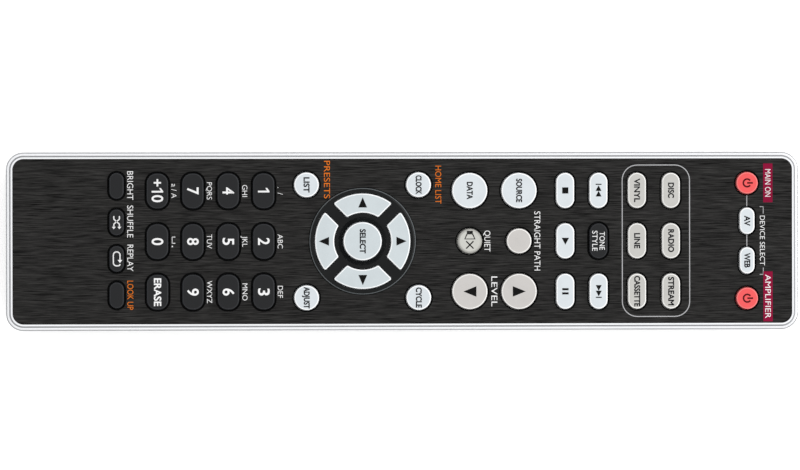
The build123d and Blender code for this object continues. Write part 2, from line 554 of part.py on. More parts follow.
def board_components():
    """What is soldered under the board: controller, resonator, reservoir capacitor, driver, resistors."""
    chip_y = CHIP_FRACTION * BODY_LENGTH
    resonator = hung(RESONATOR_X, chip_y, RESONATOR)
    resonator = fillet(resonator.edges().group_by(Axis.Z)[0], 0.8)
    capacitor_low = chip_y + CHIP_LENGTH
    capacitor_high = capacitor_low + CAPACITOR_LENGTH
    axis = board_bottom - CAPACITOR_DIAMETER / 2 - CHIP_STANDOFF
    capacitor = rod(CAPACITOR_X, capacitor_low, capacitor_high, axis, CAPACITOR_DIAMETER)
    capacitor = fillet(capacitor.edges().filter_by(GeomType.CIRCLE), 0.35)
    driver = hung(RESISTOR_COLUMNS[1], chip_y + RESISTOR_ROWS[1] + 2 * CAPACITOR_LENGTH, DRIVER)
    resistors = [hung(x, chip_y + y, RESISTOR) for x in RESISTOR_COLUMNS for y in RESISTOR_ROWS]
    return [controller_chip(chip_y), resonator, capacitor, driver, *resistors]


def infrared_led():
    """A 5 mm emitter lying along the case, its two leads bent up into the board."""
    tip = half_length - WALL - WINDOW_SEAT_GAP - WINDOW_LIP_THICKNESS - LED_GAP
    base = tip - LED_LENGTH
    barrel = rod(0, base, tip, window_height, LED_DIAMETER)
    barrel = fillet(barrel.edges().filter_by(GeomType.CIRCLE).group_by(Axis.Y)[-1], LED_DIAMETER / 2 - 0.1)
    barrel += rod(0, base, base + LED_FLANGE_THICKNESS, window_height, LED_FLANGE_DIAMETER)
    half, back = LED_LEAD / 2, base - LED_LEAD_RUN
    leads = []
    for side in (-1, 1):
        x = side * LED_LEAD_SPACING / 2
        run = block(x - half, x + half, back, base, window_height - half, window_height + half)
        rise = block(x - half, x + half, back, back + LED_LEAD, window_height - half, board_bottom)
        leads.append(run + rise)
    return [barrel, *leads]


def infrared_window():
    """The dark lens in the end wall, with a lip behind the wall that holds it."""
    back = half_length - WALL
    lip_face = back - WINDOW_SEAT_GAP
    lens = window_shape(0, back, half_length)
    neck = window_shape(-FIT_GAP, lip_face - FIT_GAP, back + FIT_GAP)
    return lens + neck + window_shape(WINDOW_LIP, lip_face - WINDOW_LIP_THICKNESS, lip_face)


# ---- Battery parts ---------------------------------------------------------------------


def battery_cover():
    """The cover: a flat lid that hooks in at its head end and snaps at its tail end."""
    size = (2 * cover_half_width, cover_head - cover_tail)
    plan = Pos(0, (cover_tail + cover_head) / 2) * RectangleRounded(*size, COVER_CORNER)
    for side in (-1, 1):
        x = side * (LATCH_WIDTH + LATCH_SLOT) / 2
        plan -= Pos(x, cover_tail + LATCH_LENGTH / 2) * Rectangle(LATCH_SLOT, LATCH_LENGTH)
    lid = prism(plan, COVER_RECESS, cover_top)

    reach, half = LATCH_WIDTH / 2 - GRIP_SIDE_MARGIN, GRIP_WIDTH / 2
    grip_rows = [cover_tail + GRIP_FROM_EDGE + n * GRIP_PITCH for n in range(GRIP_RIBS)]
    grips = [block(-reach, reach, y - half, y + half, -CUT, COVER_RECESS + GRIP_DEPTH) for y in grip_rows]

    stem, join = cover_head - TAB_STEM, cover_top - COVER_JOIN
    tabs = []
    for x in tab_places:
        left, right = x - TAB_WIDTH / 2, x + TAB_WIDTH / 2
        tabs.append(block(left, right, stem, cover_head, join, tab_high))
        tabs.append(block(left, right, stem, cover_head + TAB_REACH, tab_low, tab_high))

    half, top = LATCH_WIDTH / 2, cover_top + LATCH_HEIGHT
    face = cover_tail + LATCH_SETBACK
    leg = block(-half, half, face, face + LATCH_THICKNESS, join, top)
    nose = block(-half, half, face - LATCH_NOSE, face + LATCH_THICKNESS, top - LATCH_NOSE_HEIGHT, top)
    return lid + [*tabs, leg, nose] - grips


def cell(x, button_at_head):
    """One AAA cell along Y, its button against the head plate or the tail plate."""
    facing, end = (1, head_plate_face) if button_at_head else (-1, tail_plate_face)
    shoulder, base = end - facing * CELL_BUTTON_HEIGHT, end - facing * CELL_LENGTH
    can = rod(x, *sorted((base, shoulder)), cell_axis, CELL_DIAMETER)
    can = fillet(can.edges().filter_by(GeomType.CIRCLE), CELL_EDGE_ROUND)
    return can + rod(x, *sorted((shoulder, end)), cell_axis, CELL_BUTTON_DIAMETER)


def contact_spring(x, at_head):
    """A conical wire spring between a plate and a cell's flat end."""
    height = SPRING_LENGTH - SPRING_WIRE - 2 * SPRING_SEAT_GAP
    taper = degrees(atan2(SPRING_BASE_RADIUS - SPRING_TIP_RADIUS, height))
    coil = Helix(height / SPRING_TURNS, height, SPRING_BASE_RADIUS, cone_angle=-taper)
    wire = sweep(Plane(origin=coil @ 0, z_dir=coil % 0) * Circle(SPRING_WIRE / 2), path=coil, is_frenet=True)
    facing, plate = (-1, head_plate_face) if at_head else (1, tail_plate_face)
    start = plate + facing * (SPRING_WIRE / 2 + SPRING_SEAT_GAP)
    return Pos(x, start, cell_axis) * Rot(-90 * facing, 0, 0) * wire


def battery_contacts():
    """The bridge plate, two terminal plates with solder tags, and the two springs."""
    low, high = cell_axis - CONTACT_HEIGHT / 2, cell_axis + CONTACT_HEIGHT / 2
    half, tag_half = CONTACT_WIDTH / 2, SOLDER_TAG_WIDTH / 2
    back = tail_plate_face - CONTACT_THICKNESS
    bridge = block(-cell_x - half, cell_x + half, back, tail_plate_face, low, high)
    front, back = head_plate_face, head_plate_face + CONTACT_THICKNESS
    terminals = []
    for x in (-cell_x, cell_x):
        plate = block(x - half, x + half, front, back, low, high)
        tag_top = board_top - SOLDER_TAG_BELOW_TOP
        terminals.append(plate + block(x - tag_half, x + tag_half, front, back, cell_axis, tag_top))
    return [bridge, *terminals, contact_spring(-cell_x, False), contact_spring(cell_x, True)]


def case_screw(x, y):
    """A pan-head self-tapping screw with a cross recess, its head down in the case's pocket."""
    floor = SCREW_SEAT - SCREW_HEAD_HEIGHT
    head = post(x, y, SCREW_HEAD_DIAMETER, floor, SCREW_SEAT)
    head = fillet(head.edges().group_by(Axis.Z)[0], SCREW_HEAD_ROUND)
    shank = post(x, y, SCREW_DIAMETER, SCREW_SEAT, SCREW_SEAT + SCREW_LENGTH)
    bar = Box(CROSS_LENGTH, CROSS_WIDTH, 2 * CROSS_DEPTH)
    return head + shank - [Pos(x, y, floor) * Rot(0, 0, turn) * bar for turn in (0, 90)]


# ---- Write one file for each sub-part -----------------------------------------------------


def save(name, *solids):
    shape = solids[0] if len(solids) == 1 else Compound(solids)
    export_step(shape, f"parts/{name}.step")


def main():
    os.makedirs("parts", exist_ok=True)
    plate_keys = flat_keys()
    keys = plate_keys + cursor_keys()
    domes = dome_places(keys)
    save("rear_case", rear_case())
    save("upper_case", upper_case(plate_keys))
    save("face_plate", face_plate(plate_keys))
    save("cursor_bezel", cursor_bezel())
    save("keypad_membrane", keypad_membrane(domes))
    save("circuit_board", circuit_board())
    save("board_components", *board_components())
    save("infrared_led", *infrared_led())
    save("infrared_window", infrared_window())
    save("battery_cover", battery_cover())
    save("battery_cells", cell(-cell_x, True), cell(cell_x, False))
    save("battery_contacts", *battery_contacts())
    save("case_screws", *[case_screw(x, y) for x, y in screw_places])
    for name, shape, x, y, rounding, rise in keys:
        save(name, *key(shape, x, y, rounding, rise, domes[name]))


main()
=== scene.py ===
import json
from math import cos, radians, sin

import bmesh
import bpy
from mathutils import Matrix, Vector


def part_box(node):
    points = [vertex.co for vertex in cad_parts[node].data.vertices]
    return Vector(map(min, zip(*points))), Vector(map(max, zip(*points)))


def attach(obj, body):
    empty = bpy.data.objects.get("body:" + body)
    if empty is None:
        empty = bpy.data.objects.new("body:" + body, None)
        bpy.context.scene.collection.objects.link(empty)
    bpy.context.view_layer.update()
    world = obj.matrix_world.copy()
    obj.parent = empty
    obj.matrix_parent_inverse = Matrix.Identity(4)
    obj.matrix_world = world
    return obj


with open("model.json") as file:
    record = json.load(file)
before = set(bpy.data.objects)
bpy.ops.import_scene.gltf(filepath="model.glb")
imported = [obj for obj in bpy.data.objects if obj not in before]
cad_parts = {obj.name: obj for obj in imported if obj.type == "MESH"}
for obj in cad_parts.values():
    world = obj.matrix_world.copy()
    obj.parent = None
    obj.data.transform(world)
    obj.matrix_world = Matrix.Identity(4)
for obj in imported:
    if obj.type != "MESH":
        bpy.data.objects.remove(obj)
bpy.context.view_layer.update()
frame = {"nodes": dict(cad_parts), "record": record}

# ---- Studio -------------------------------------------------------------------------
# A pale sweep, itself slightly luminous, under a soft dome that is brightest overhead, with a large
# panel and a low strip towards the infrared end. The camera hangs above the keys with a long lens,
# the handset's head to the right, and leans a little towards the tail.

scene = bpy.context.scene
scene.view_settings.view_transform = "Standard"


def link(thing):
    """Puts an object in the scene."""
    scene.collection.objects.link(thing)
    return thing


VIEW_WIDTH, LENS, SENSOR_WIDTH = 0.22986, 250.0, 36.0  # the width is at the face plate
VIEW_CENTRE = Vector((-0.00177, -0.00098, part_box("face_plate")[1].z))
VIEW_TURN, VIEW_LEAN = radians(89.9), radians(2.6)
camera = link(bpy.data.objects.new("camera", bpy.data.cameras.new("camera")))
camera.data.lens = LENS
camera.data.sensor_width = SENSOR_WIDTH
camera.data.clip_end = 20
lean = Matrix.Rotation(VIEW_LEAN, 4, "X")
distance = VIEW_WIDTH * LENS / SENSOR_WIDTH
stand = Matrix.Translation(VIEW_CENTRE + lean @ Vector((0, 0, distance)))
camera.matrix_world = stand @ lean @ Matrix.Rotation(VIEW_TURN, 4, "Z")
scene.camera = camera

DOME_START, DOME_FULL = 0.1, 0.6  # height on the dome, as a share of its radius
DOME_LOW, DOME_HIGH = 0.08, 1.15
sky = bpy.data.worlds.new("studio_dome")
scene.world = sky
sky.use_nodes = True
nodes, links = sky.node_tree.nodes, sky.node_tree.links
direction = nodes.new("ShaderNodeTexCoord")
split = nodes.new("ShaderNodeSeparateXYZ")
rise = nodes.new("ShaderNodeMapRange")
rise.interpolation_type = "SMOOTHSTEP"
rise.inputs["From Min"].default_value = DOME_START
rise.inputs["From Max"].default_value = DOME_FULL
rise.inputs["To Min"].default_value = DOME_LOW
rise.inputs["To Max"].default_value = DOME_HIGH
nodes["Background"].inputs["Color"].default_value = (1, 1, 1, 1)
links.new(direction.outputs["Generated"], split.inputs[0])
links.new(split.outputs["Z"], rise.inputs["Value"])
links.new(rise.outputs["Result"], nodes["Background"].inputs["Strength"])


def soft_light(name, wide, deep, energy, place):
    """A rectangular light at place, in metres, that faces the handset."""
    lamp = link(bpy.data.objects.new(name, bpy.data.lights.new(name, "AREA")))
    lamp.data.shape = "RECTANGLE"
    lamp.data.size, lamp.data.size_y = wide, deep
    lamp.data.energy = energy
    lamp.location = place
    lamp.rotation_euler = (-lamp.location).to_track_quat("-Z", "Y").to_euler()


soft_light("soft_panel", 0.9, 0.6, 2.9, (-0.25, 0.75, 0.85))
soft_light("strip_light", 0.9, 0.14, 3.0, (-0.1, 1.02, 0.62))

FLOOR_REACH, FLOOR_DROP = 4.0, 0.00005  # the drop keeps it clear of the resting face
floor = link(bpy.data.objects.new("floor", bpy.data.meshes.new("floor")))
sheet = bmesh.new()
bmesh.ops.create_grid(sheet, x_segments=1, y_segments=1, size=FLOOR_REACH)
sheet.to_mesh(floor.data)
sheet.free()
floor.location.z = -FLOOR_DROP


def srgb(red, green, blue):
    """A display colour, 0 to 255, as linear light with alpha."""
    channels = (red, green, blue)
    return tuple(((c / 255 + 0.055) / 1.055) ** 2.4 if c > 10 else c / 3294 for c in channels) + (1,)


def principled(name, colour, roughness, **settings):
    """A material with one Principled shader, its sockets set from the arguments."""
    material = bpy.data.materials.new(name)
    material.use_nodes = True
    shader = material.node_tree.nodes["Principled BSDF"]
    shader.inputs["Base Color"].default_value = colour
    shader.inputs["Roughness"].default_value = roughness
    for socket, value in settings.items():
        shader.inputs[socket.replace("_", " ").title().replace("Ior", "IOR")].default_value = value
    return material


sweep = principled("pale_sweep", srgb(248, 248, 248), 0.9, specular_ior_level=0.2, emission_strength=0.4)
sweep.node_tree.nodes["Principled BSDF"].inputs["Emission Color"].default_value = (1, 1, 1, 1)
floor.data.materials.append(sweep)

# ---- Rear case ------------------------------------------------------------------------
# Lower half of the shell: injection-moulded black ABS with a fine spark-eroded texture, its gloss a
# little uneven from handling. Four screws hold it to the upper case.


def new_group(name, inputs, outputs):
    """An empty shader group with inputs (name, default) and named outputs, all of them plain numbers."""
    tree = bpy.data.node_groups.new(name, "ShaderNodeTree")
    for socket, value in inputs:
        added = tree.interface.new_socket(socket, in_out="INPUT", socket_type="NodeSocketFloat")
        added.default_value = value
    for socket in outputs:
        tree.interface.new_socket(socket, in_out="OUTPUT", socket_type="NodeSocketFloat")
    return tree, tree.nodes.new("NodeGroupInput"), tree.nodes.new("NodeGroupOutput")


def set_socket(tree, socket, value):
    """Joins a node's output to the socket, or sets a plain number or colour on it."""
    if isinstance(value, bpy.types.NodeSocket):
        tree.links.new(value, socket)
    else:
        socket.default_value = value


def math_node(tree, operation, first, second=0.0):
    """A Math node. Each operand is a socket or a number."""
    node = tree.nodes.new("ShaderNodeMath")
    node.operation = operation
    for socket, operand in zip(node.inputs, (first, second)):
        set_socket(tree, socket, operand)
    return node.outputs[0]


# Moulded surface: a fine even grain for the Height of a bump, and a slow mottle for colour and gloss.
mould_grain, group_in, group_out = new_group(
    "mould_grain", (("Grain Size", 0.0003), ("Mottle Size", 0.02)), ("Height", "Mottle")
)
place = mould_grain.nodes.new("ShaderNodeTexCoord")
for size, output, detail in (("Grain Size", "Height", 2.0), ("Mottle Size", "Mottle", 3.0)):
    noise = mould_grain.nodes.new("ShaderNodeTexNoise")
    noise.inputs["Detail"].default_value = detail
    mould_grain.links.new(place.outputs["Object"], noise.inputs["Vector"])
    scale = math_node(mould_grain, "DIVIDE", 1.0, group_in.outputs[size])
    mould_grain.links.new(scale, noise.inputs["Scale"])
    mould_grain.links.new(noise.outputs["Fac"], group_out.inputs[output])


def place_group(material, tree, **values):
    """The group in the material, its inputs set from the arguments."""
    node = material.node_tree.nodes.new("ShaderNodeGroup")
    node.node_tree = tree
    for socket, value in values.items():
        node.inputs[socket.replace("_", " ").title()].default_value = value
    return node


def ramp(material, source, low, high, start=0.0, end=1.0):
    """Source taken from start..end to low..high. Numbers give a value, colours give a colour."""
    tree = material.node_tree
    reach = tree.nodes.new("ShaderNodeMapRange")
    reach.inputs["From Min"].default_value = start
    reach.inputs["From Max"].default_value = end
    tree.links.new(source, reach.inputs["Value"])
    if isinstance(low, (int, float)):
        reach.inputs["To Min"].default_value = low
        reach.inputs["To Max"].default_value = high
        return reach.outputs["Result"]
    blend = tree.nodes.new("ShaderNodeMix")
    blend.data_type = "RGBA"
    tree.links.new(reach.outputs["Result"], blend.inputs["Factor"])
    for socket, colour in zip((blend.inputs[6], blend.inputs[7]), (low, high)):
        set_socket(tree, socket, colour)
    return blend.outputs[2]


def feed(material, socket, source):
    """Joins source to a socket of the material's shader."""
    material.node_tree.links.new(source, material.node_tree.nodes["Principled BSDF"].inputs[socket])


def bump(material, source, distance):
    """Height in source, scaled to distance in metres, as the material's normal."""
    node = material.node_tree.nodes.new("ShaderNodeBump")
    node.inputs["Distance"].default_value = distance
    material.node_tree.links.new(source, node.inputs["Height"])
    feed(material, "Normal", node.outputs["Normal"])


def moulded(name, colour, shade, roughness, grain=0.00035, depth=0.00002, **settings):
    """Moulded plastic: colour drifts a little towards shade, and gloss with it, over a fine grain."""
    material = principled(name, colour, roughness, **settings)
    texture = place_group(material, mould_grain, grain_size=grain)
    mottle = texture.outputs["Mottle"]
    feed(material, "Base Color", ramp(material, mottle, colour, shade, 0.35, 0.65))
    feed(material, "Roughness", ramp(material, mottle, roughness - 0.05, roughness + 0.07, 0.3, 0.7))
    bump(material, texture.outputs["Height"], depth)
    return material


def dress(material, *names):
    """Gives CAD nodes their material."""
    for name in names:
        for slot in frame["nodes"][name].material_slots:
            slot.material = material


black_shell = moulded("black_shell", srgb(36, 36, 38), srgb(41, 41, 43), 0.48)
dress(black_shell, "rear_case")

# ---- Battery cover ----------------------------------------------------------------------
# The lid under the tail half, in the same black ABS as the rear case but from its own mould, so its
# grain is a shade finer. It hooks in at the head end and a sprung tongue snaps it shut.

cover_black = moulded("cover_black", srgb(38, 38, 40), srgb(43, 43, 45), 0.46, grain=0.0003)
dress(cover_black, "battery_cover")

# ---- Battery cells ------------------------------------------------------------------------
# Two AAA cells in plain printed jackets, one each way round: a dark barrel with a copper-coloured
# band at the button end, and bare nickel at both ends.


def object_axes(tree):
    """The place on the piece, split into X, Y and Z outputs."""
    place = tree.nodes.new("ShaderNodeTexCoord")
    axes = tree.nodes.new("ShaderNodeSeparateXYZ")
    tree.links.new(place.outputs["Object"], axes.inputs[0])
    return axes.outputs


CELL_LENGTH, BAND_LENGTH, BARE_END = 0.0445, 0.012, 0.0013
cell_low, cell_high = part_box("battery_cells")
jacket = principled("cell_jacket", srgb(40, 42, 46), 0.32, metallic=0.6)
tree = jacket.node_tree
axes = object_axes(tree)
middle = (cell_low.y + cell_high.y) / 2
side = math_node(tree, "SIGN", axes["X"])  # the two cells lie side by side, one each way round
along_cell = math_node(tree, "MULTIPLY", math_node(tree, "SUBTRACT", middle, axes["Y"]), side)
half_cell = (cell_high.y - cell_low.y) / 2
from_button = math_node(tree, "SUBTRACT", half_cell, along_cell)
in_band = math_node(tree, "LESS_THAN", from_button, BAND_LENGTH)
bare_button = math_node(tree, "LESS_THAN", from_button, BARE_END)
bare_base = math_node(tree, "GREATER_THAN", from_button, CELL_LENGTH - BARE_END / 2)
bare = math_node(tree, "MAXIMUM", bare_button, bare_base)
texture = place_group(jacket, mould_grain, grain_size=0.0006, mottle_size=0.004)
barrel = ramp(jacket, texture.outputs["Mottle"], srgb(34, 36, 40), srgb(46, 48, 53), 0.3, 0.7)
banded = ramp(jacket, in_band, barrel, srgb(196, 122, 70))
feed(jacket, "Base Color", ramp(jacket, bare, banded, srgb(205, 204, 200)))
feed(jacket, "Metallic", ramp(jacket, math_node(tree, "MAXIMUM", bare, in_band), 0.2, 1.0))
bump(jacket, texture.outputs["Height"], 0.000006)
dress(jacket, "battery_cells")

# ---- Battery contacts -----------------------------------------------------------------------
# Pressed nickel-plated spring steel: a bridge at the tail, two terminals at the head with tags that
# rise to the board, and two conical springs. The sheet keeps its rolling marks.


def vector_node(tree, x=0.0, y=0.0, z=0.0):
    """A vector from sockets or numbers."""
    node = tree.nodes.new("ShaderNodeCombineXYZ")
    for socket, part in zip(node.inputs, (x, y, z)):
        set_socket(tree, socket, part)
    return node.outputs[0]


# Drawn or brushed metal: fine lines along Y, as a height and as a slower drift of brightness.
fine_brushing, group_in, group_out = new_group(
    "fine_brushing", (("Line Width", 0.0002), ("Line Length", 0.006)), ("Height", "Drift")
)
axes = object_axes(fine_brushing)
narrow = math_node(fine_brushing, "DIVIDE", axes["X"], group_in.outputs["Line Width"])
long = math_node(fine_brushing, "DIVIDE", axes["Y"], group_in.outputs["Line Length"])
deep = math_node(fine_brushing, "DIVIDE", axes["Z"], group_in.outputs["Line Width"])
for output, spread, detail in (("Height", 1.0, 3.0), ("Drift", 4.0, 2.0)):
    stretched = [math_node(fine_brushing, "DIVIDE", source, spread) for source in (narrow, long, deep)]
    noise = fine_brushing.nodes.new("ShaderNodeTexNoise")
    noise.inputs["Scale"].default_value = 1.0
    noise.inputs["Detail"].default_value = detail
    noise.inputs["Roughness"].default_value = 0.6
    fine_brushing.links.new(vector_node(fine_brushing, *stretched), noise.inputs["Vector"])
    fine_brushing.links.new(noise.outputs["Fac"], group_out.inputs[output])

nickel = principled("nickel_plate", srgb(196, 194, 188), 0.3, metallic=1.0)
lines = place_group(nickel, fine_brushing, line_width=0.00012, line_length=0.004)
rolled = ramp(nickel, lines.outputs["Drift"], srgb(176, 174, 168), srgb(210, 208, 203), 0.3, 0.7)
feed(nickel, "Base Color", rolled)
feed(nickel, "Roughness", ramp(nickel, lines.outputs["Height"], 0.2, 0.42, 0.3, 0.7))
bump(nickel, lines.outputs["Height"], 0.000004)
dress(nickel, "battery_contacts")

# ---- Case screws ----------------------------------------------------------------------------
# Four pan-head self-tapping screws in blackened steel, sunk in the rear case. The blacking is thin,
# and bare steel shows through in small patches.

blackened = principled("blackened_steel", srgb(46, 46, 48), 0.42, metallic=1.0)
texture = place_group(blackened, mould_grain, grain_size=0.0002, mottle_size=0.0015)
mottle = texture.outputs["Mottle"]
feed(blackened, "Base Color", ramp(blackened, mottle, srgb(38, 38, 40), srgb(74, 74, 78), 0.4, 0.75))
feed(blackened, "Roughness", ramp(blackened, mottle, 0.36, 0.5, 0.3, 0.7))
bump(blackened, texture.outputs["Height"], 0.000008)
dress(blackened, "case_screws")

# ---- Circuit board --------------------------------------------------------------------------
# One glass-fibre board with green resist. On its top face, under each key, a printed carbon comb
# closes when the key's pill lands on it.

resist = principled("green_resist", srgb(28, 92, 58), 0.3)
weave = place_group(resist, fine_brushing, line_width=0.0009, line_length=0.0011)
threads = ramp(resist, weave.outputs["Drift"], srgb(24, 84, 52), srgb(36, 104, 66), 0.35, 0.65)
feed(resist, "Base Color", threads)
bump(resist, weave.outputs["Height"], 0.00001)
dress(resist, "circuit_board")

carbon = moulded("printed_carbon", srgb(24, 24, 25), srgb(32, 32, 33), 0.6, grain=0.0001, depth=0.000005)
key_names = sorted(name for name in frame["nodes"] if name.startswith("key_"))
PAD_SIZE, PAD_THICKNESS, PAD_FINGERS = 0.0034, 0.00003, 5
PAD_PROUD = 0.000008  # above the board, less than the gap that a pressed key's pill leaves


def new_modifier_tree(name, inputs):
    """A Geometry Nodes tree that takes and gives geometry, with more inputs (name, socket type)."""
    tree = bpy.data.node_groups.new(name, "GeometryNodeTree")
    for socket, kind in (("Geometry", "NodeSocketGeometry"), *inputs):
        tree.interface.new_socket(socket, in_out="INPUT", socket_type=kind)
    tree.interface.new_socket("Geometry", in_out="OUTPUT", socket_type="NodeSocketGeometry")
    return tree, tree.nodes.new("NodeGroupInput"), tree.nodes.new("NodeGroupOutput")


def geometry_node(tree, kind, **values):
    """A geometry node with inputs set to numbers or joined to sockets, and properties in lower case."""
    node = tree.nodes.new(kind)
    for name in filter(str.islower, values):
        setattr(node, name, values[name])
    for name in filter(lambda name: not name.islower(), values):
        set_socket(tree, node.inputs[name.replace("_", " ")], values[name])
    return node


# A comb is a row of bars with every other one shifted, so the two halves reach past each other.
BAR_WIDTH = 0.55  # of the pitch from bar to bar
BAR_LENGTH, BAR_SHIFT = 0.86, 0.14  # of the pad's size
contact_combs, group_in, group_out = new_modifier_tree(
    "contact_combs",
    (
        ("Size", "NodeSocketFloat"),
        ("Thickness", "NodeSocketFloat"),
        ("Fingers", "NodeSocketInt"),
        ("Material", "NodeSocketMaterial"),
    ),
)
size, fingers = group_in.outputs["Size"], group_in.outputs["Fingers"]
pitch = math_node(contact_combs, "DIVIDE", size, fingers)
bar_width = math_node(contact_combs, "MULTIPLY", pitch, BAR_WIDTH)
bar_length = math_node(contact_combs, "MULTIPLY", size, BAR_LENGTH)
bar_size = vector_node(contact_combs, bar_width, bar_length, group_in.outputs["Thickness"])
one_bar = geometry_node(contact_combs, "GeometryNodeMeshCube", Size=bar_size)
half_row = math_node(contact_combs, "MULTIPLY", math_node(contact_combs, "SUBTRACT", fingers, 1.0), -0.5)
row_start = vector_node(contact_combs, math_node(contact_combs, "MULTIPLY", half_row, pitch))
step = vector_node(contact_combs, pitch)
row = geometry_node(
    contact_combs, "GeometryNodeMeshLine", Count=fingers, Start_Location=row_start, Offset=step
)
index = geometry_node(contact_combs, "GeometryNodeInputIndex")
odd = math_node(contact_combs, "MODULO", index.outputs[0], 2.0)
swing = math_node(contact_combs, "MULTIPLY", math_node(contact_combs, "SUBTRACT", odd, 0.5), BAR_SHIFT)
shift = vector_node(contact_combs, y=math_node(contact_combs, "MULTIPLY", swing, size))
row = geometry_node(contact_combs, "GeometryNodeSetPosition", Geometry=row.outputs[0], Offset=shift)
comb = geometry_node(
    contact_combs, "GeometryNodeInstanceOnPoints", Points=row.outputs[0], Instance=one_bar.outputs["Mesh"]
)
places = group_in.outputs["Geometry"]
pads = geometry_node(
    contact_combs, "GeometryNodeInstanceOnPoints", Points=places, Instance=comb.outputs[0]
)
pads = geometry_node(contact_combs, "GeometryNodeRealizeInstances", Geometry=pads.outputs[0])
pads = geometry_node(
    contact_combs, "GeometryNodeSetMaterial", Geometry=pads.outputs[0], Material=group_in.outputs["Material"]
)
contact_combs.links.new(pads.outputs[0], group_out.inputs[0])


def grow(name, data, tree, **values):
    """Runs a Geometry Nodes tree on the mesh or curve and keeps the result as a plain mesh object."""
    seed = link(bpy.data.objects.new(name, data))
    modifier = seed.modifiers.new(name, "NODES")
    modifier.node_group = tree
    sockets = {s.name: s.identifier for s in tree.interface.items_tree if s.in_out == "INPUT"}
    for key, value in values.items():
        modifier[sockets[key.replace("_", " ")]] = value
    bpy.context.view_layer.update()
    grown = seed.evaluated_get(bpy.context.evaluated_depsgraph_get())
    mesh = bpy.data.meshes.new_from_object(grown)
    bpy.data.objects.remove(seed)
    mesh.name = name
    return link(bpy.data.objects.new(name, mesh))


def middle_of(name):
    """Middle of a CAD node's box at rest."""
    low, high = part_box(name)
    return (low + high) / 2


pad_places = bpy.data.meshes.new("pad_places")
board_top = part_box("circuit_board")[1].z
comb_level = board_top + PAD_PROUD - PAD_THICKNESS / 2
spots = [(middle_of(name).x, middle_of(name).y, comb_level) for name in key_names]
pad_places.from_pydata(spots, [], [])
pads = grow(
    "contact_combs", pad_places, contact_combs,
    Size=PAD_SIZE, Thickness=PAD_THICKNESS, Fingers=PAD_FINGERS, Material=carbon,
)
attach(pads, "handset")

# ---- Components under the board -----------------------------------------------------------------
# Black moulded packages and their pins: the controller, a resonator, a reservoir capacitor, the
# emitter's driver and six resistors, all soldered to the board's lower face.

package = moulded("moulded_package", srgb(30, 30, 31), srgb(38, 38, 39), 0.5, grain=0.00012, depth=0.000008)
dress(package, "board_components")

# ---- Infrared emitter and window ------------------------------------------------------------------
# A clear blue-tinted 5 mm emitter behind a deep red window, which looks black but passes infrared.
# The window is flush with the end wall and held by a lip inside it.

epoxy = principled("emitter_epoxy", srgb(150, 160, 205), 0.08, transmission_weight=0.85, ior=1.53)
texture = place_group(epoxy, mould_grain, grain_size=0.001, mottle_size=0.004)
feed(epoxy, "Roughness", ramp(epoxy, texture.outputs["Mottle"], 0.05, 0.16, 0.3, 0.7))
dress(epoxy, "infrared_led")
window_red = principled("window_red", srgb(34, 8, 12), 0.09, coat_weight=0.4, coat_roughness=0.05)
texture = place_group(window_red, mould_grain, grain_size=0.0012, mottle_size=0.006)
mottle = texture.outputs["Mottle"]
feed(window_red, "Roughness", ramp(window_red, mottle, 0.06, 0.16, 0.35, 0.7))
feed(window_red, "Base Color", ramp(window_red, mottle, srgb(30, 7, 10), srgb(40, 10, 15), 0.3, 0.7))
dress(window_red, "infrared_window")

# ---- Keypad membrane ------------------------------------------------------------------------------
# One sheet of grey silicone under the deck, with a hollow dome below each key that springs it back.

silicone = moulded(
    "grey_silicone", srgb(120, 121, 124), srgb(132, 133, 136), 0.55, depth=0.00001, specular_ior_level=0.3
)
dress(silicone, "keypad_membrane")

# ---- Upper case ---------------------------------------------------------------------------------
# The upper shell is black ABS inside and silver paint outside. The slopes of its stepped rim are
# painted shade, darker than its bright flats. The paint stops at the edge of the face plate's pocket,
# so the deck that shows in the gaps round the keys stays black, and near-black, darker than the rear
# case's ABS, as painted shade in those gaps.

# Where a surface turns away from straight up: 0 on a flat top, 1 down the side.
turned_edge, group_in, group_out = new_group("turned_edge", (("Start", 0.02), ("End", 0.25)), ("Edge",))
surface = turned_edge.nodes.new("ShaderNodeNewGeometry")
facing = turned_edge.nodes.new("ShaderNodeSeparateXYZ")
turned_edge.links.new(surface.outputs["True Normal"], facing.inputs[0])
tilt = math_node(turned_edge, "SUBTRACT", 1.0, facing.outputs["Z"])
reach = turned_edge.nodes.new("ShaderNodeMapRange")
turned_edge.links.new(tilt, reach.inputs["Value"])
turned_edge.links.new(group_in.outputs["Start"], reach.inputs["From Min"])
turned_edge.links.new(group_in.outputs["End"], reach.inputs["From Max"])
turned_edge.links.new(reach.outputs["Result"], group_out.inputs["Edge"])


def distance_node(tree, across, along):
    """How far off a point is, from its distance on two axes."""
    squares = [math_node(tree, "MULTIPLY", reach, reach) for reach in (across, along)]
    return math_node(tree, "SQRT", math_node(tree, "ADD", *squares))


PLATE_CORNER, POCKET_GAP = 0.0031, 0.00003
plate_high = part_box("face_plate")[1]
silver = principled(
    "silver_paint", srgb(226, 227, 229), 0.3, metallic=0.5, coat_roughness=0.12, specular_ior_level=0.12
)
tree = silver.node_tree
axes = object_axes(tree)
past_corner = []  # distance past the centres of the plate's corner arcs, on X and on Y
for axis, reach in (("X", plate_high.x), ("Y", plate_high.y)):
    past = math_node(tree, "SUBTRACT", math_node(tree, "ABSOLUTE", axes[axis]), reach - PLATE_CORNER)
    past_corner.append(math_node(tree, "MAXIMUM", past, 0.0))
from_arc = distance_node(tree, *past_corner)
painted = math_node(tree, "GREATER_THAN", from_arc, PLATE_CORNER + POCKET_GAP)
texture = place_group(silver, mould_grain, grain_size=0.00009, mottle_size=0.012)
sloped = place_group(silver, turned_edge, start=0.12, end=0.28)
flake = ramp(silver, texture.outputs["Height"], srgb(221, 222, 225), srgb(239, 240, 242), 0.35, 0.65)
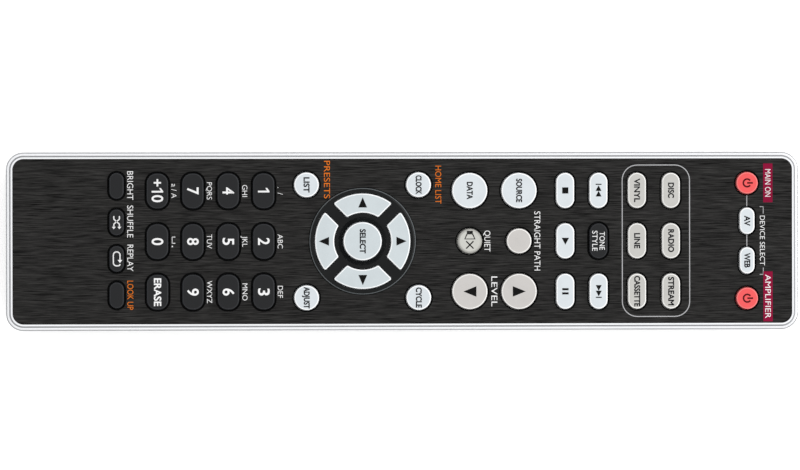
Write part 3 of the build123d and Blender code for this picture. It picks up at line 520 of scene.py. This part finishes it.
# Painted shade: the rim's slopes get a darker grey than its flats, by the way they face.
painted_slope_shade = ramp(silver, texture.outputs["Height"], srgb(138, 139, 142), srgb(160, 161, 164), 0.35, 0.65)
paint_and_slope_shade = ramp(silver, sloped.outputs["Edge"], flake, painted_slope_shade)
# Where the mask is 0, the deck is black ABS in near-black, darker than the rear case, as painted shade in
# the gaps.
feed(silver, "Base Color", ramp(silver, painted, srgb(5, 5, 6), paint_and_slope_shade))
feed(silver, "Metallic", ramp(silver, painted, 0.0, 0.5))
feed(silver, "Coat Weight", ramp(silver, painted, 0.0, 0.3))
gloss = ramp(silver, texture.outputs["Mottle"], 0.26, 0.36, 0.3, 0.7)
feed(silver, "Roughness", math_node(tree, "MAXIMUM", gloss, ramp(silver, painted, 0.8, 0.0)))
bump(silver, texture.outputs["Height"], 0.0000015)
dress(silver, "upper_case")

# ---- Face plate ---------------------------------------------------------------------------------
# Aluminium sheet, brushed along the handset, anodised black and screen printed. The brushing shows
# as fine pale streaks. The print stands a few hundredths of a millimetre off the metal.

anodised = principled("black_anodised", srgb(30, 30, 30), 0.4, metallic=0.9, specular_ior_level=0.2)
lines = place_group(anodised, fine_brushing, line_width=0.0001, line_length=0.006)
streaks = ramp(anodised, lines.outputs["Height"], srgb(4, 4, 4), srgb(70, 69, 68), 0.38, 0.72)
brushed = ramp(anodised, lines.outputs["Drift"], streaks, srgb(30, 30, 30), 0.2, 1.6)
feed(anodised, "Base Color", brushed)
feed(anodised, "Roughness", ramp(anodised, lines.outputs["Height"], 0.34, 0.48, 0.3, 0.7))
bump(anodised, lines.outputs["Height"], 0.000003)
dress(anodised, "face_plate")


def ink(name, colour, shade):
    """Screen-printed ink: opaque and nearly matt, a touch uneven."""
    return moulded(name, colour, shade, 0.5, grain=0.0002, depth=0.000003, specular_ior_level=0.1)


white_ink = ink("white_ink", srgb(220, 220, 220), srgb(230, 230, 230))
line_ink = ink("grey_ink", srgb(164, 164, 166), srgb(176, 176, 178))
orange_ink = ink("orange_ink", srgb(206, 104, 18), srgb(214, 112, 26))
crimson_ink = ink("crimson_ink", srgb(122, 0, 44), srgb(134, 1, 50))
INK_SUNK, INK_PROUD = 0.00001, 0.00003  # the film's lower and upper faces, from the surface it is on
CAPITAL = 0.682  # height of a capital in the built-in type at size 1
MM = 0.001


def grow_rim(build, width):
    """Moves the rim of a flat mesh outwards by width, mitred at its corners."""
    moves = {}
    for v in build.verts:
        normals = []
        for edge in v.link_edges:
            if edge.is_boundary:
                run = (edge.verts[1].co - edge.verts[0].co).normalized()
                out = Vector((run.y, -run.x, 0))
                inward = edge.link_faces[0].calc_center_median() - edge.verts[0].co
                normals.append(-out if out.dot(inward) > 0 else out)
        if len(normals) == 2:
            mitre = normals[0] + normals[1]
            moves[v] = mitre * (2 * width / max(mitre.length_squared, 1.0))
    for v, move in moves.items():
        v.co += move


def letters(words, tall, long=None, weight=0.0):
    """A closed film of the words, centred. Capital height, length and stroke growth in millimetres."""
    type_curve = bpy.data.curves.new("type", "FONT")
    type_curve.body = words
    type_curve.resolution_u = 4
    setting = link(bpy.data.objects.new("type", type_curve))
    bpy.context.view_layer.update()
    set_type = setting.evaluated_get(bpy.context.evaluated_depsgraph_get())
    film = bpy.data.meshes.new_from_object(set_type)
    bpy.data.objects.remove(setting)
    left, right = min(v.co.x for v in film.vertices), max(v.co.x for v in film.vertices)
    scale_y = (tall - 2 * weight) * MM / CAPITAL
    scale_x = (long - 2 * weight) * MM / (right - left) if long else scale_y
    build = bmesh.new()
    build.from_mesh(film)
    for v in build.verts:
        v.co = ((v.co.x - (left + right) / 2) * scale_x, (v.co.y - CAPITAL / 2) * scale_y, 0)
    bmesh.ops.remove_doubles(build, verts=build.verts, dist=1e-7)
    grow_rim(build, weight * MM)
    top = bmesh.ops.extrude_face_region(build, geom=build.faces[:])["geom"]
    for v in build.verts:
        v.co.z = -0.5
    for v in (part for part in top if isinstance(part, bmesh.types.BMVert)):
        v.co.z = 0.5
    bmesh.ops.recalc_face_normals(build, faces=build.faces)
    build.to_mesh(film)
    build.free()
    return film


def solid(outlines):
    """A closed film from outlines in millimetres, each a list of corners in order."""
    film = bpy.data.meshes.new("outline")
    build = bmesh.new()
    for corners in outlines:
        base = [build.verts.new((x * MM, y * MM, -0.5)) for x, y in corners]
        top = [build.verts.new((x * MM, y * MM, 0.5)) for x, y in corners]
        build.faces.new(base[::-1])
        build.faces.new(top)
        for n in range(len(corners)):
            after = (n + 1) % len(corners)
            build.faces.new((base[n], base[after], top[after], top[n]))
    bmesh.ops.recalc_face_normals(build, faces=build.faces)
    build.to_mesh(film)
    build.free()
    return film


printed_line, group_in, group_out = new_modifier_tree(
    "printed_line", (("Width", "NodeSocketFloat"), ("Corner", "NodeSocketFloat"))
)
drawn, corner = group_in.outputs["Geometry"], group_in.outputs["Corner"]
path = geometry_node(printed_line, "GeometryNodeSetCurveNormal", Curve=drawn, mode="Z_UP")
path = geometry_node(
    printed_line, "GeometryNodeFilletCurve",
    Curve=path.outputs[0], Count=8, Radius=corner, Limit_Radius=True, mode="POLY",
)
section = geometry_node(
    printed_line, "GeometryNodeCurvePrimitiveQuadrilateral", Width=group_in.outputs["Width"], Height=1.0
)
film = geometry_node(
    printed_line, "GeometryNodeCurveToMesh",
    Curve=path.outputs[0], Profile_Curve=section.outputs[0], Fill_Caps=True,
)
film = geometry_node(printed_line, "GeometryNodeRealizeInstances", Geometry=film.outputs[0])
film = geometry_node(printed_line, "GeometryNodeSetMaterial", Geometry=film.outputs[0], Material=line_ink)
printed_line.links.new(film.outputs[0], group_out.inputs[0])


def strokes(paths, width, corner=0.0):
    """A closed film along paths in millimetres. A path that ends where it starts is a loop."""
    curve = bpy.data.curves.new("path", "CURVE")
    curve.dimensions = "3D"
    for points in paths:
        loop = len(points) > 2 and points[0] == points[-1]
        points = points[:-1] if loop else points
        spline = curve.splines.new("POLY")
        spline.points.add(len(points) - 1)
        for target, (x, y) in zip(spline.points, points):
            target.co = (x * MM, y * MM, 0, 1)
        spline.use_cyclic_u = loop
    drawn = grow("line", curve, printed_line, Width=width * MM, Corner=corner * MM)
    film = drawn.data
    bpy.data.objects.remove(drawn)
    return film


def print_on(name, body, surface, material, placed):
    """Joins (film, x, y) prints into one piece on a surface height, and lets it ride on the body."""
    build = bmesh.new()
    for film, x, y in placed:
        film.transform(Matrix.Translation((x, y, 0)))
        build.from_mesh(film)
        bpy.data.meshes.remove(film)
    for v in build.verts:
        v.co.z = surface - INK_SUNK if v.co.z < 0 else surface + INK_PROUD
    bmesh.ops.remove_doubles(build, verts=build.verts, dist=0.000001)
    bmesh.ops.recalc_face_normals(build, faces=build.faces)
    mesh = bpy.data.meshes.new(name)
    build.to_mesh(mesh)
    build.free()
    mesh.materials.clear()
    mesh.materials.append(material)
    for face in mesh.polygons:
        face.material_index = 0
    piece = link(bpy.data.objects.new(name, mesh))
    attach(piece, body)
    return piece


def rectangle(x, y, wide, high):
    """Corners of a rectangle about (x, y)."""
    left, right, low, top = x - wide / 2, x + wide / 2, y - high / 2, y + high / 2
    return [(left, low), (right, low), (right, top), (left, top)]


plate_top = plate_high.z
SMALL_TYPE, KEYPAD_TYPE, THIN = 1.7, 1.45, -0.01


def labels(rows):
    """Placed lettering from (key, words, across, along, tall, long): the offset is from the key's middle."""
    return [
        (letters(words, tall, long, THIN), middle_of(key).x + dx * MM, middle_of(key).y + dy * MM)
        for key, words, dx, dy, tall, long in rows
    ]


white_rows = [
    ("key_mute", "QUIET", 0, 5.1, SMALL_TYPE, 6.0),
    ("key_direct", "STRAIGHT PATH", 0, 5.3, SMALL_TYPE, 17.0),
    ("key_volume_up", "LEVEL", 0, -7.1, SMALL_TYPE, 8.6),
    ("key_dimmer", "BRIGHT", -0.1, 3.9, SMALL_TYPE, 8.2),
    ("key_random", "SHUFFLE", -0.25, 3.9, SMALL_TYPE, 9.2),
    ("key_repeat", "REPLAY", -0.25, 3.9, SMALL_TYPE, 7.6),
]
keypad_letters = {
    "key_1": ".  /", "key_2": "ABC", "key_3": "DEF", "key_4": "GHI", "key_5": "JKL", "key_6": "MNO",
    "key_7": "PQRS", "key_8": "TUV", "key_9": "WXYZ", "key_plus_10": "a / A",
}
white_rows += [(key, words, 0, 4.75, KEYPAD_TYPE, None) for key, words in keypad_letters.items()]
orange_rows = [
    ("key_time", "HOME LIST", 0, 5.7, SMALL_TYPE, 10.9),
    ("key_program", "PRESETS", -1.5, 5.9, SMALL_TYPE, 10.8),
    ("key_search", "LOOK UP", 0, 3.9, SMALL_TYPE, 8.3),
]
plate_white = labels(white_rows)
plate_white.append((letters("DEVICE SELECT", 1.4, 14.3, THIN), 0, middle_of("key_power").y + 4.5 * MM))
# Over the nought, the sign for a space and a full stop.
SIGN_RISE, SIGN_LINE, DOT = 4.6, 0.26, 0.36
sign_x, sign_y = middle_of("key_0").x, middle_of("key_0").y + SIGN_RISE * MM
space_sign = strokes([[(-1.3, 0.5), (-1.3, -0.4), (0.5, -0.4), (0.5, 0.5)]], SIGN_LINE)
plate_white += [(space_sign, sign_x, sign_y), (solid([rectangle(1.4, -0.35, DOT, DOT)]), sign_x, sign_y)]
print_on("plate_print_white", "handset", plate_top, white_ink, plate_white)
print_on("plate_print_orange", "handset", plate_top, orange_ink, labels(orange_rows))

# Lines: the frame round the six source keys, the links between the head keys, and two brackets.
FRAME_X, FRAME_ABOVE, FRAME_BELOW, FRAME_CORNER, FRAME_LINE = 21.8, 5.45, 4.2, 4.3, 0.28
BRACKET_IN, BRACKET_OUT, BRACKET_RISE, BRACKET_LEG, THIN_LINE = 7.8, 9.75, 4.75, 1.0, 0.24
low_y, high_y = middle_of("key_phono").y / MM - FRAME_BELOW, middle_of("key_disc").y / MM + FRAME_ABOVE
corners = [(-FRAME_X, low_y), (FRAME_X, low_y), (FRAME_X, high_y), (-FRAME_X, high_y), (-FRAME_X, low_y)]
rule_y = middle_of("key_power").y / MM
bracket_top = rule_y + BRACKET_RISE
brackets = [
    [(inner, bracket_top), (outer, bracket_top), (outer, bracket_top - BRACKET_LEG)]
    for inner, outer in ((-BRACKET_IN, -BRACKET_OUT), (BRACKET_IN, BRACKET_OUT))
]
rules = [[(-13.0, rule_y), (-9.9, rule_y)], [(-1.7, rule_y), (1.7, rule_y)]]
line_films = [
    (strokes([corners], FRAME_LINE, FRAME_CORNER), 0, 0),
    (strokes(brackets + rules, THIN_LINE), 0, 0),
]
print_on("plate_print_lines", "handset", plate_top, line_ink, line_films)

# Two crimson banners by the power keys, each given as (words, length of the words, middle, length).
BANNER_TALL, BANNER_RISE, BANNER_TYPE = 2.7, 6.1, 1.6
banner_y = rule_y + BANNER_RISE
banners = (("MAIN ON", 7.9, -16.6, 11.2), ("AMPLIFIER", 12.6, 16.1, 14.4))
grounds, banner_text = [], []
for words, text_long, x, long in banners:
    grounds.append(rectangle(x, banner_y, long, BANNER_TALL))
    banner_text.append((letters(words, BANNER_TYPE, text_long, THIN), x * MM, banner_y * MM))
print_on("plate_banners", "handset", plate_top, crimson_ink, [(solid(grounds), 0, 0)])
print_on("banner_lettering", "handset", plate_top + INK_PROUD, white_ink, banner_text)

# ---- Cursor bezel ---------------------------------------------------------------------------------
# A ring of polished black ABS, dished towards the middle key, its four spokes between the arrow
# keys. Faint wiping marks dull the gloss in patches, and a fine grey line on its shoulder is a
# painted highlight.

BEZEL_EDGE_OUT, BEZEL_EDGE_IN = 0.00012, 0.0004  # the painted highlight line on the shoulder, in from the outer edge
gloss_black = principled("gloss_black", srgb(10, 11, 12), 0.14, specular_ior_level=0.16)
texture = place_group(gloss_black, mould_grain, grain_size=0.0004, mottle_size=0.005)
feed(gloss_black, "Roughness", ramp(gloss_black, texture.outputs["Mottle"], 0.1, 0.2, 0.35, 0.7))
tree = gloss_black.node_tree
axes = object_axes(tree)
bezel_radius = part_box("cursor_bezel")[1].x
radius = distance_node(tree, axes["X"], math_node(tree, "SUBTRACT", axes["Y"], middle_of("cursor_bezel").y))
past_line = math_node(tree, "GREATER_THAN", radius, bezel_radius - BEZEL_EDGE_IN)
before_edge = math_node(tree, "LESS_THAN", radius, bezel_radius - BEZEL_EDGE_OUT)
painted_highlight_line = math_node(tree, "MULTIPLY", past_line, before_edge)
black = ramp(gloss_black, texture.outputs["Mottle"], srgb(6, 8, 9), srgb(12, 14, 15), 0.3, 0.7)
# Painted highlight: a thin ring on the shoulder is coloured grey.
feed(gloss_black, "Base Color", ramp(gloss_black, painted_highlight_line, black, srgb(96, 100, 102)))
dress(gloss_black, "cursor_bezel")

# ---- Keys -----------------------------------------------------------------------------------------
# Hard ABS caps in seven colours, satin on top. The rounded edge of each cap carries a painted
# highlight, brighter than its top, which on the pale keys shows as a thin white outline. Only the mute
# key's edge is darker, as painted shade.


def key_plastic(name, colour, edge, roughness=0.38):
    """Satin key plastic. Its rounded edge takes the edge colour as painted light: a painted highlight where
    that colour is lighter than the top, painted shade where it is darker.
    """
    material = principled(name, colour, roughness, specular_ior_level=0.2)
    texture = place_group(material, mould_grain, grain_size=0.00025, mottle_size=0.004)
    painted_edge_light = place_group(material, turned_edge, start=0.0005, end=0.03)
    mottle = texture.outputs["Mottle"]
    darker = tuple(c * 0.96 for c in colour[:3]) + (1,)
    top = ramp(material, mottle, darker, colour, 0.35, 0.6)
    # Painted light on the cap's rounded edge: the edge colour replaces the top colour there.
    feed(material, "Base Color", ramp(material, painted_edge_light.outputs["Edge"], top, edge))
    feed(material, "Roughness", ramp(material, mottle, roughness - 0.04, roughness + 0.06, 0.3, 0.7))
    bump(material, texture.outputs["Height"], 0.000006)
    return material


# Each key's second colour is the painted light on its edge: a painted highlight, and on the mute key painted
# shade.
pale = key_plastic("pale_key", srgb(202, 208, 212), srgb(252, 253, 254))
grey = key_plastic("grey_key", srgb(183, 182, 178), srgb(240, 239, 236))
warm = key_plastic("warm_key", srgb(188, 185, 182), srgb(240, 238, 235))
soft = key_plastic("soft_key", srgb(190, 190, 184), srgb(172, 171, 166))
charcoal = key_plastic("charcoal_key", srgb(23, 24, 26), srgb(44, 45, 48), roughness=0.5)
cursor = key_plastic("cursor_key", srgb(191, 199, 202), srgb(248, 250, 251))
red = key_plastic("red_key", srgb(224, 84, 85), srgb(240, 124, 122))

record_slots = {part["node"]: part["material_slot"] for part in frame["record"]["subparts"]}
finishes = {
    "light_key": pale, "source_key": grey, "warm_key": warm, "dark_key": charcoal, "power_key": red,
}
for name in key_names:
    dress(finishes[record_slots[name]], name)
dress(soft, "key_mute")
dress(cursor, "key_up", "key_left", "key_down", "key_right", "key_enter")

# ---- Key legends --------------------------------------------------------------------------------------
# Each legend is pad printed on its own cap and travels with it: near-black on the pale keys, dark red
# on the power keys and white on the charcoal ones.

dark_ink = ink("dark_ink", srgb(14, 14, 17), srgb(20, 20, 24))
black_ink = ink("black_ink", srgb(3, 3, 3), srgb(8, 7, 7))
symbol_red = ink("power_ink", srgb(72, 8, 14), srgb(84, 12, 18))


def legend(key, material, films):
    """Prints films, centred on the key, on the key's top."""
    at = middle_of(key)
    placed = [(film, at.x + dx * MM, at.y + dy * MM) for film, dx, dy in films]
    return print_on("legend" + key[3:], key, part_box(key)[1].z, material, placed)


KEY_TYPE, FIRM = 1.72, 0.075
# The words on each key and how long they are, in millimetres.
words_on_keys = {
    "key_mode_disc": ("AV", 2.9), "key_mode_network": ("WEB", 4.2),
    "key_disc": ("DISC", 4.4), "key_tuner": ("RADIO", 6.6), "key_network": ("STREAM", 8.2),
    "key_phono": ("VINYL", 6.8), "key_auxiliary": ("LINE", 4.4), "key_recorder": ("CASSETTE", 8.8),
    "key_input": ("SOURCE", 6.8), "key_info": ("DATA", 5.0), "key_time": ("CLOCK", 5.4),
    "key_play_mode": ("CYCLE", 5.8), "key_program": ("LIST", 4.4), "key_setup": ("ADJUST", 6.2),
    "key_enter": ("SELECT", 7.0),
}
for key, (words, long) in words_on_keys.items():
    legend(key, dark_ink, [(letters(words, KEY_TYPE, long, FIRM), 0, 0)])

DIGIT, DIGIT_LONG, BOLD, STROKE = 3.3, 2.05, 0.07, 0.5
STEM_LEFT, STEM_RIGHT, FLAG_TIP = -0.05, 0.45, -0.85  # of the digit one
one = [
    (STEM_LEFT, -DIGIT / 2), (STEM_RIGHT, -DIGIT / 2), (STEM_RIGHT, DIGIT / 2), (STEM_LEFT + 0.1, DIGIT / 2),
    (FLAG_TIP, 1.0), (FLAG_TIP, 0.5), (STEM_LEFT, 0.95),
]


def turned(points, degrees, x=0.0, y=0.0):
    """The points turned about the origin, then moved by x and y."""
    a = radians(degrees)
    return [(x + u * cos(a) - v * sin(a), y + u * sin(a) + v * cos(a)) for u, v in points]


def plus(x, y, reach, width, turn=0):
    """A plus sign about (x, y), or a cross when it is turned by 45 degrees."""
    half = width / 2
    arm = [(half, half), (reach, half), (reach, -half)]
    outline = [corner for quarter in (0, -90, -180, -270) for corner in turned(arm, quarter)]
    return turned(outline, turn, x, y)


legend("key_1", white_ink, [(solid([one]), 0, 0)])
for digit in "234567890":
    legend(f"key_{digit}", white_ink, [(letters(digit, DIGIT, DIGIT_LONG, BOLD), 0, 0)])
plus_one = solid([plus(-2.35, 0, 1.05, STROKE), one])
plus_ten = [(plus_one, 0, 0), (letters("0", DIGIT, DIGIT_LONG, BOLD), 2.2, 0)]
legend("key_plus_10", white_ink, plus_ten)
legend("key_clear", white_ink, [(letters("ERASE", 2.1, 8.0, FIRM), 0, 0)])
legend("key_sound", white_ink, [(letters("TONE", 1.5, 5.2), 0, 1.0), (letters("STYLE", 1.5, 5.8), 0, -1.1)])


def triangle(x, y, base, high, turn):
    """An isosceles triangle about (x, y) pointing along turn, in degrees from +X."""
    return turned([(high / 2, 0), (-high / 2, base / 2), (-high / 2, -base / 2)], turn, x, y)


def arc(x, y, radius, start, end, steps=28):
    """Points of an arc in degrees."""
    angles = [radians(start + (end - start) * n / steps) for n in range(steps + 1)]
    return [(x + radius * cos(a), y + radius * sin(a)) for a in angles]


def bar(x, y, wide, high):
    """A closed film of one rectangle."""
    return solid([rectangle(x, y, wide, high)])


POWER_RADIUS, POWER_BAR, POWER_LINE = 1.1, 1.65, 0.46
RING_START, RING_END = 128, 412  # open by 76 degrees about the bar
for key in ("key_power", "key_amplifier_power"):
    ring = strokes([arc(0, 0, POWER_RADIUS, RING_START, RING_END), [(0, 0), (0, POWER_BAR)]], POWER_LINE)
    legend(key, symbol_red, [(ring, 0, 0)])
OUTWARD = 0.78  # how far the cursor arrows lie past the middle of their keys
for key, turn in (("key_up", 90), ("key_left", 180), ("key_down", 270), ("key_right", 0)):
    at = turned([(OUTWARD, 0)], turn)[0]
    legend(key, black_ink, [(solid([triangle(*at, 2.5, 2.9, turn)]), 0, 0)])
for key, turn in (("key_volume_up", 90), ("key_volume_down", 270)):
    legend(key, black_ink, [(solid([triangle(0, 0, 3.0, 3.7, turn)]), 0, 0)])
legend("key_stop", black_ink, [(bar(0, 0, 1.76, 1.76), 0, 0)])
legend("key_play", black_ink, [(solid([triangle(0.1, 0, 2.1, 1.95, 0)]), 0, 0)])
legend("key_pause", black_ink, [(bar(-0.6, 0, 0.6, 1.84), 0, 0), (bar(0.6, 0, 0.6, 1.84), 0, 0)])
for key, way in (("key_skip_back", -1), ("key_skip_forward", 1)):
    turn = 0 if way > 0 else 180
    wedges = solid([triangle(way * -0.95, 0, 1.7, 1.6, turn), triangle(way * 0.65, 0, 1.7, 1.6, turn)])
    legend(key, black_ink, [(wedges, 0, 0), (bar(way * 1.75, 0, 0.3, 1.7), 0, 0)])
horn = strokes([[(-2.1, -0.75), (-0.6, -1.45), (-0.6, 1.45), (-2.1, 0.75), (-2.1, -0.75)]], 0.4)
cross = solid([plus(1.1, 0, 1.5, 0.34, 45)])
legend("key_mute", black_ink, [(bar(-2.6, 0, 0.6, 1.7), 0, 0), (horn, 0, 0), (cross, 0, 0)])
ICON_LINE = 0.36
ways = [[(-1.8, -side), (-0.9, -side), (0.5, side), (1.3, side)] for side in (-0.8, 0.8)]
crossing = strokes(ways, ICON_LINE, 0.4)
tips = solid([triangle(1.6, 0.8, 1.1, 0.7, 0), triangle(1.6, -0.8, 1.1, 0.7, 0)])
legend("key_random", white_ink, [(crossing, 0, 0), (tips, 0, 0)])
way_round = [(0.3, 0.95), (-2.0, 0.95), (-2.0, -0.95), (2.0, -0.95), (2.0, 0.95), (1.5, 0.95)]
loop = strokes([way_round], ICON_LINE, 0.9)
legend("key_repeat", white_ink, [(loop, 0, 0), (solid([triangle(0.75, 0.95, 1.3, 0.9, 0)]), 0, 0)])
